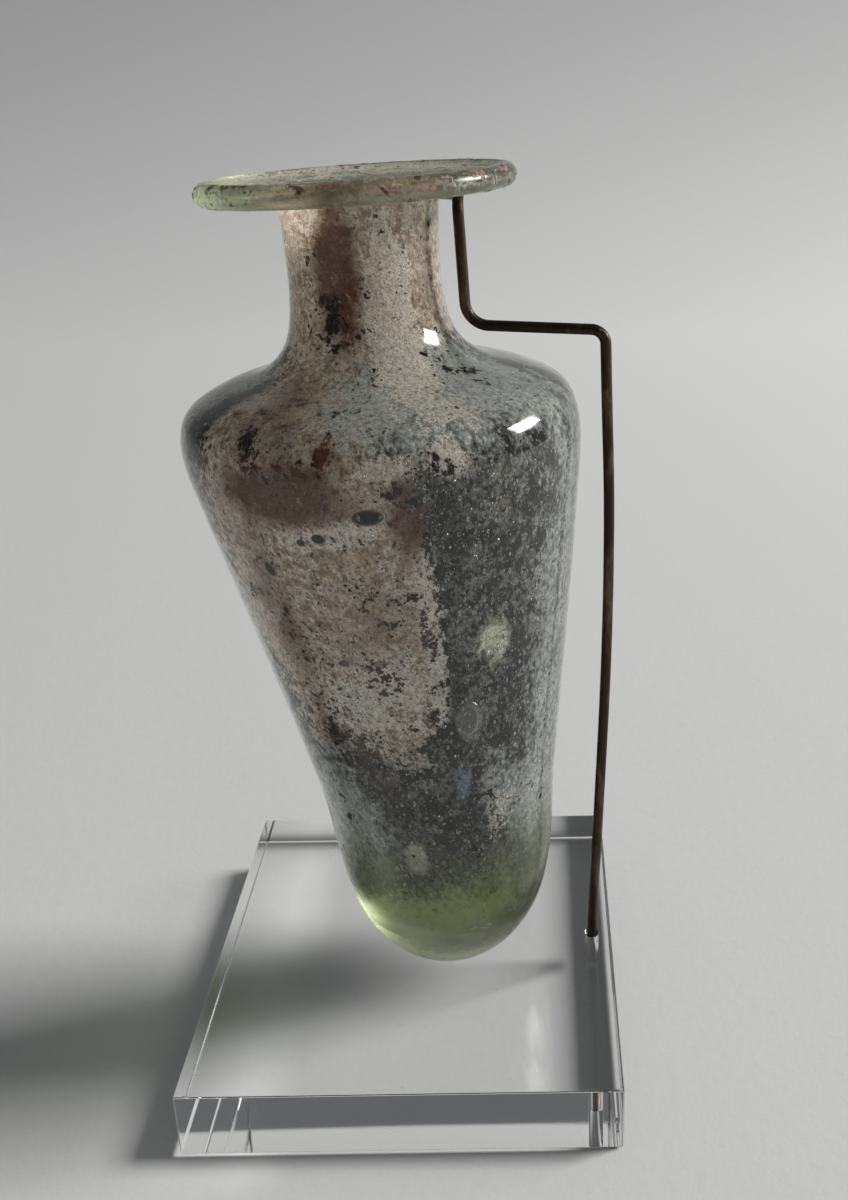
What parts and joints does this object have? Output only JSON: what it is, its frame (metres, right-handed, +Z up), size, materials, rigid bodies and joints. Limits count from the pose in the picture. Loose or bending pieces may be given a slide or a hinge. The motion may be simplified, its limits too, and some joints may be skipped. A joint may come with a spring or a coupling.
{
  "type": "roman glass unguentarium",
  "caption": "Free-blown glass flask with a thick disc rim, short neck and tapering body, standing on a clear block and steadied at the neck by a bent rod.",
  "frame": {"origin": "centre of the block's underside", "axes": "+Z up, +X towards the side of the rod's stem, +Y to the back"},
  "size_m": [0.0602, 0.0609, 0.1276],
  "materials": {
    "weathered_glass": "pale green blown glass, glossy, weathered brown and grey inside with bubbles and rust-red crust",
    "dark_bronze": "dark brown patinated wire, rubbed brighter at the bends",
    "clear_acrylic": "clear, polished, with crisp edges"
  },
  "bodies": {
    "root": {"flask": "weathered_glass", "rod": "dark_bronze", "block": "clear_acrylic"}
  },
  "joints": []
}
